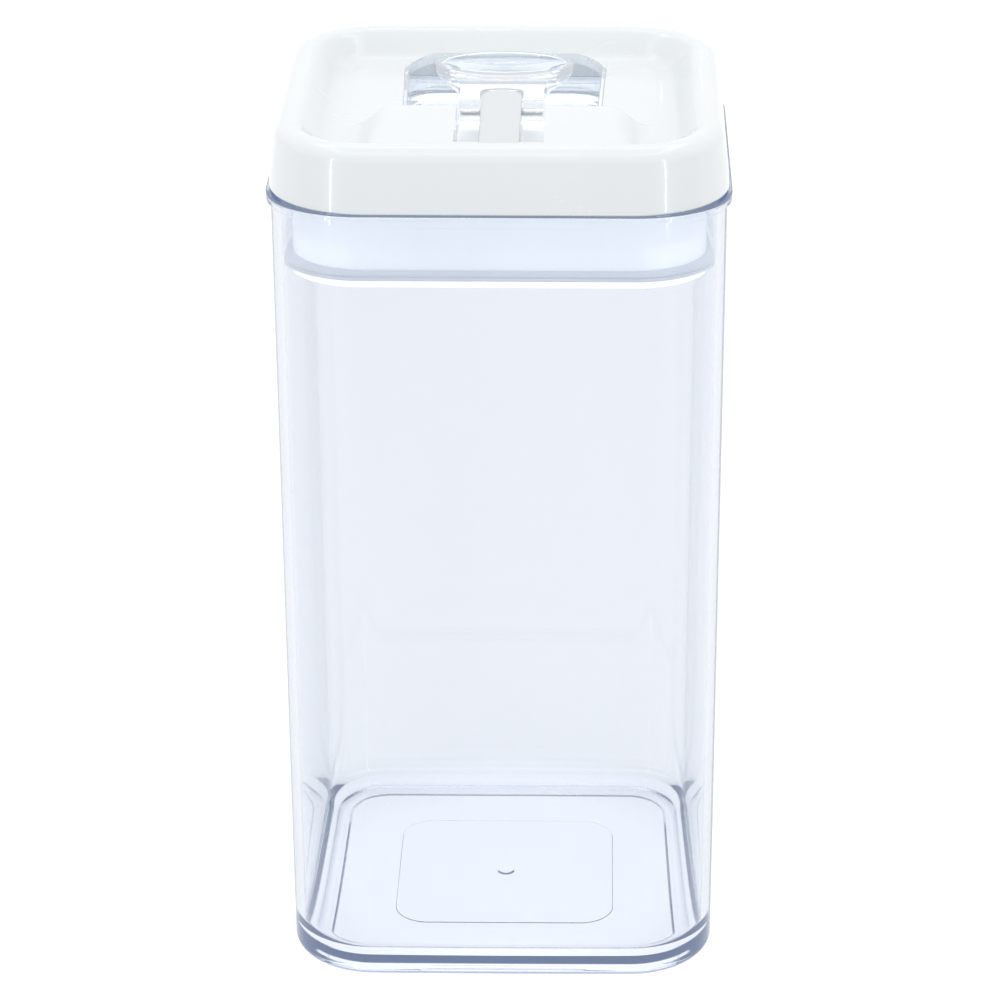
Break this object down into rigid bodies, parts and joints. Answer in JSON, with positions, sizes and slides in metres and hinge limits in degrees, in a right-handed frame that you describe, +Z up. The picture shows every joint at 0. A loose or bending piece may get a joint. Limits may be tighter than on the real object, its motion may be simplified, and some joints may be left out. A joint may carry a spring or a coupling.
{
  "type": "food canister",
  "caption": "Clear rounded-square food canister with a white lid. A clear flip lever draws a pressure plate up inside the mouth and squeezes a seal against the wall.",
  "frame": {"origin": "middle of the underside, on the surface that the jar stands on", "axes": "+Z up, -Y towards the front, where the lever's hinge lies; the paddle points to +Y; X across"},
  "size_m": [0.1162, 0.1162, 0.2297],
  "materials": {
    "clear_plastic": "clear styrene-type plastic, polished moulding",
    "white_plastic": "white ABS, polished moulding",
    "seal": "milky translucent silicone",
    "pin_steel": "ground stainless pin"
  },
  "bodies": {
    "canister": {"body": "clear_plastic"},
    "lid": {"lid_cover": "white_plastic", "plug": "clear_plastic", "gasket": "seal"},
    "plate": {"pressure_plate": "clear_plastic", "draw_post": "white_plastic", "hinge_pin": "pin_steel"},
    "lever": {"lever": "clear_plastic"}
  },
  "joints": [
    {"name": "lid_lift", "type": "slide", "parent": "canister", "child": "lid", "axis": [0, 0, 1], "range_m": [0, 0.12]},
    {"name": "plate_drop", "type": "slide", "parent": "lid", "child": "plate", "axis": [0, 0, -1], "range_m": [0, 0.0016], "deforming": ["gasket"]},
    {"name": "lever_flip", "type": "hinge", "parent": "plate", "child": "lever", "pos_m": [0, -0.0064, 0.224], "axis": [1, 0, 0], "range_deg": [0, 90]}
  ],
  "couplings": [
    {"joint": "lever_flip", "follows": "plate_drop", "rad_per_m": 981.7}
  ]
}
